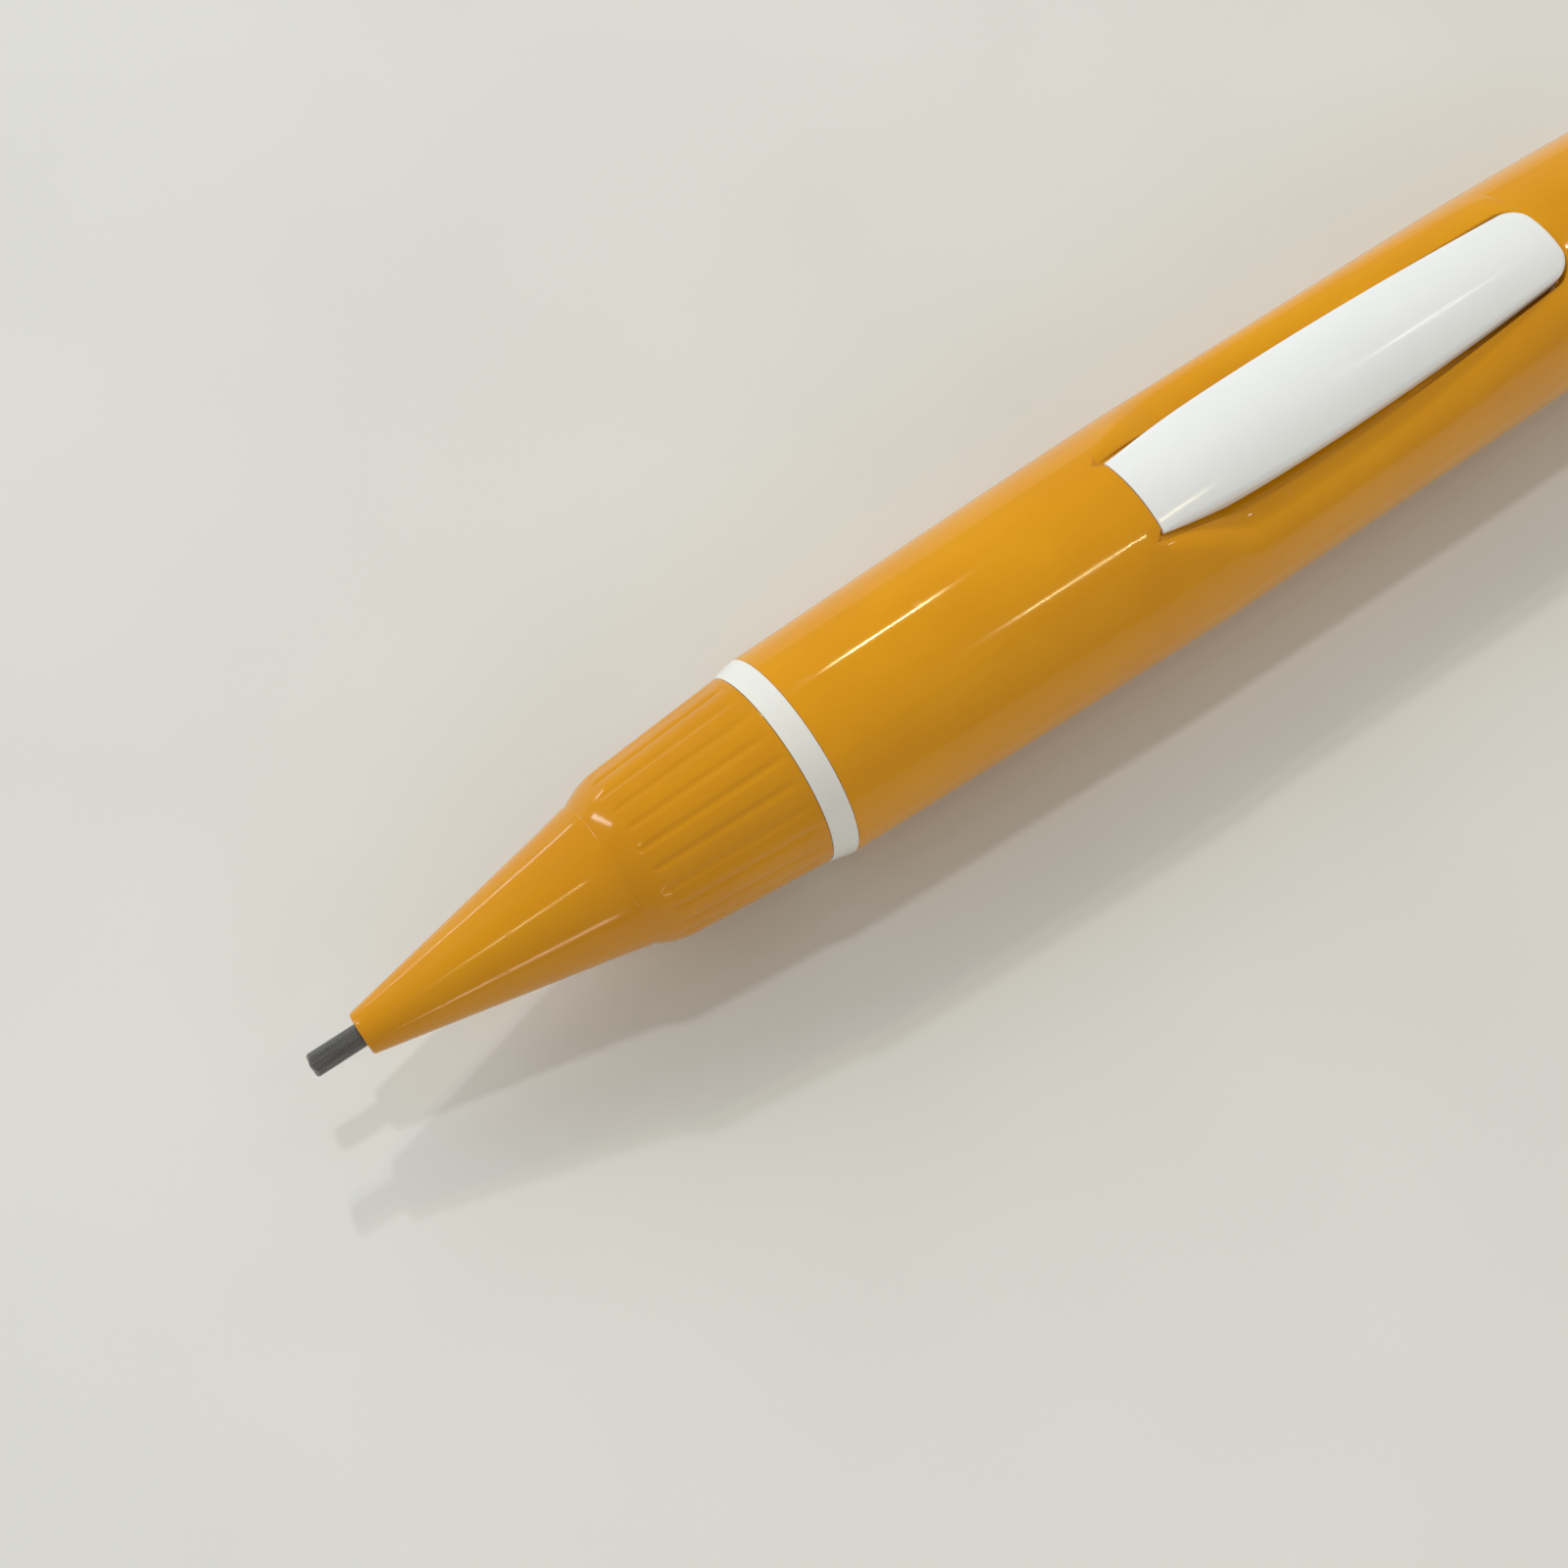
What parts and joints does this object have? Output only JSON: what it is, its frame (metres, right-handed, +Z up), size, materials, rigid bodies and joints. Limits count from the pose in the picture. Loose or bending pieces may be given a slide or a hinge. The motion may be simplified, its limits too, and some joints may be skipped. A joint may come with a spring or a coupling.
{
  "type": "mechanical pencil",
  "caption": "Fat push-button mechanical pencil with a bulged orange barrel, fluted grip, white trim ring and a broad white clip set flush in a scooped recess.",
  "frame": {"origin": "under the middle of the pencil's length, on the surface it lies on", "axes": "+X along the pencil from the writing point towards the push button, +Z up through the clip, +Y to the left seen from the button end"},
  "size_m": [0.124, 0.0136, 0.0139],
  "materials": {
    "orange_plastic": "glossy moulded orange plastic",
    "nose_plastic": "glossy moulded orange plastic",
    "ring_plastic": "glossy white plastic",
    "clip_plastic": "glossy white plastic",
    "white_plastic": "glossy white plastic",
    "eraser_vinyl": "matt white eraser vinyl",
    "graphite": "dark grey pencil lead with a soft sheen",
    "black_rubber": "matt black rubber",
    "natural_plastic": "satin natural plastic",
    "tube_plastic": "glossy milky plastic",
    "brass": "turned brass",
    "spring_steel": "bright drawn spring wire"
  },
  "bodies": {
    "barrel": {"barrel": "orange_plastic", "threaded_connector": "natural_plastic", "mechanism_sleeve": "natural_plastic", "return_spring": "spring_steel", "rear_bush": "white_plastic"},
    "ring": {"trim_ring": "ring_plastic"},
    "nose": {"nose_cone": "nose_plastic", "lead_retainer": "black_rubber", "retainer_holder": "natural_plastic"},
    "clip": {"clip": "clip_plastic"},
    "pusher": {"chuck_stem": "brass", "tube_coupler": "natural_plastic", "lead_tube": "tube_plastic", "spare_lead_1": "graphite", "spare_lead_2": "graphite", "spare_lead_3": "graphite"},
    "jaw_1": {"chuck_jaw_1": "brass"},
    "jaw_2": {"chuck_jaw_2": "brass"},
    "jaw_3": {"chuck_jaw_3": "brass"},
    "clutch": {"clutch_ring": "brass"},
    "lead": {"lead": "graphite"},
    "button": {"push_button": "white_plastic"},
    "eraser": {"eraser": "eraser_vinyl"}
  },
  "joints": [
    {"name": "nose_travel", "type": "slide", "parent": "barrel", "child": "ring", "axis": [-1, 0, 0], "range_m": [0, 0.005]},
    {"name": "nose_turn", "type": "hinge", "parent": "ring", "child": "nose", "pos_m": [-0.0339, 0, 0.00684], "axis": [-1, 0, 0], "range_deg": [0, 1810]},
    {"name": "clip_flex", "type": "hinge", "parent": "barrel", "child": "clip", "pos_m": [0.019, 0, 0.01204], "axis": [0, 1, 0], "range_deg": [0, 5], "stiffness_Nm_per_rad": 0.6},
    {"name": "button_press", "type": "slide", "parent": "barrel", "child": "pusher", "axis": [-1, 0, 0], "range_m": [0, 0.004], "stiffness_N_per_m": 500, "springref_m": -0.003, "deforming": ["return_spring"]},
    {"name": "clutch_slide", "type": "slide", "parent": "barrel", "child": "clutch", "axis": [-1, 0, 0], "range_m": [0, 0.00101]},
    {"name": "lead_feed", "type": "slide", "parent": "barrel", "child": "lead", "axis": [-1, 0, 0], "range_m": [0, 0.00101]},
    {"name": "jaw_1_open", "type": "hinge", "parent": "pusher", "child": "jaw_1", "pos_m": [-0.0367, 0, 0.00788], "axis": [0, 1, 0], "range_deg": [0, 2.6]},
    {"name": "jaw_2_open", "type": "hinge", "parent": "pusher", "child": "jaw_2", "pos_m": [-0.0367, -0.0009, 0.00632], "axis": [0, -0.5, 0.866], "range_deg": [0, 2.6]},
    {"name": "jaw_3_open", "type": "hinge", "parent": "pusher", "child": "jaw_3", "pos_m": [-0.0367, 0.0009, 0.00632], "axis": [0, -0.5, -0.866], "range_deg": [0, 2.6]},
    {"name": "button_pull", "type": "slide", "parent": "pusher", "child": "button", "axis": [1, 0, 0], "range_m": [0, 0.0125]},
    {"name": "eraser_pull", "type": "slide", "parent": "button", "child": "eraser", "axis": [1, 0, 0], "range_m": [0, 0.008]}
  ],
  "couplings": [
    {"joint": "nose_turn", "follows": "nose_travel", "rad_per_m": 6283.2},
    {"joint": "clutch_slide", "follows": "button_press", "ratio": 0.25},
    {"joint": "lead_feed", "follows": "button_press", "ratio": 0.25},
    {"joint": "jaw_1_open", "follows": "button_press", "rad_per_m": 10.908},
    {"joint": "jaw_2_open", "follows": "button_press", "rad_per_m": 10.908},
    {"joint": "jaw_3_open", "follows": "button_press", "rad_per_m": 10.908}
  ]
}
